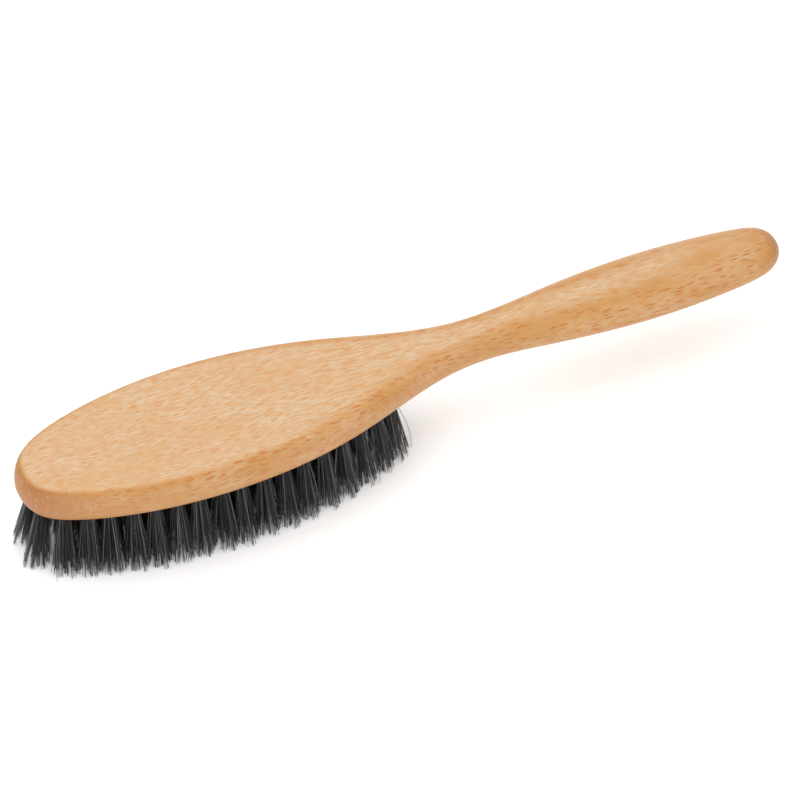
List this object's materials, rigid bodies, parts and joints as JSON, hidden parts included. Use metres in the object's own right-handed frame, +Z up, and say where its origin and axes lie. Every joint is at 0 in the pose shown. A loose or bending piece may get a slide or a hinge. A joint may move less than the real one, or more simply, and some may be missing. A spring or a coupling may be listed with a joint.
{
  "type": "clothes brush",
  "caption": "Long-handled clothes brush: oval wooden head, waisted neck and rounded handle in one piece, with splayed dark bristle tufts under the head.",
  "frame": {"origin": "centre of the brush's bounding box in plan, on the plane of the bristle tips that it stands on", "axes": "+X from the toe of the head to the end of the handle, +Y across the head, +Z up from the bristle tips to the wooden back"},
  "size_m": [0.265, 0.0498, 0.0415],
  "materials": {
    "beech": "satin, fine grain with short ray flecks",
    "bristle": "dark grey-black natural bristle, dull with a faint sheen",
    "staple_wire": "drawn wire"
  },
  "bodies": {
    "root": {"centre_staples": "staple_wire", "centre_tuft_01": "bristle", "centre_tuft_02": "bristle", "centre_tuft_03": "bristle", "centre_tuft_04": "bristle", "centre_tuft_05": "bristle", "centre_tuft_06": "bristle", "centre_tuft_07": "bristle", "outer_staples": "staple_wire", "outer_tuft_pair_01": "bristle", "outer_tuft_pair_02": "bristle", "outer_tuft_pair_03": "bristle", "outer_tuft_pair_04": "bristle", "outer_tuft_pair_05": "bristle", "outer_tuft_pair_06": "bristle", "outer_tuft_pair_07": "bristle", "outer_tuft_pair_08": "bristle", "outer_tuft_pair_09": "bristle", "outer_tuft_pair_10": "bristle", "outer_tuft_pair_11": "bristle", "outer_tuft_pair_12": "bristle", "outer_tuft_pair_13": "bristle", "outer_tuft_pair_14": "bristle", "outer_tuft_pair_15": "bristle", "outer_tuft_pair_16": "bristle", "outer_tuft_pair_17": "bristle", "outer_tuft_pair_18": "bristle", "second_staples": "staple_wire", "second_tuft_pair_01": "bristle", "second_tuft_pair_02": "bristle", "second_tuft_pair_03": "bristle", "second_tuft_pair_04": "bristle", "second_tuft_pair_05": "bristle", "second_tuft_pair_06": "bristle", "second_tuft_pair_07": "bristle", "second_tuft_pair_08": "bristle", "second_tuft_pair_09": "bristle", "second_tuft_pair_10": "bristle", "second_tuft_pair_11": "bristle", "second_tuft_pair_12": "bristle", "second_tuft_pair_13": "bristle", "second_tuft_pair_14": "bristle", "third_staples": "staple_wire", "third_tuft_pair_01": "bristle", "third_tuft_pair_02": "bristle", "third_tuft_pair_03": "bristle", "third_tuft_pair_04": "bristle", "third_tuft_pair_05": "bristle", "third_tuft_pair_06": "bristle", "third_tuft_pair_07": "bristle", "third_tuft_pair_08": "bristle", "wooden_body": "beech"}
  },
  "joints": []
}
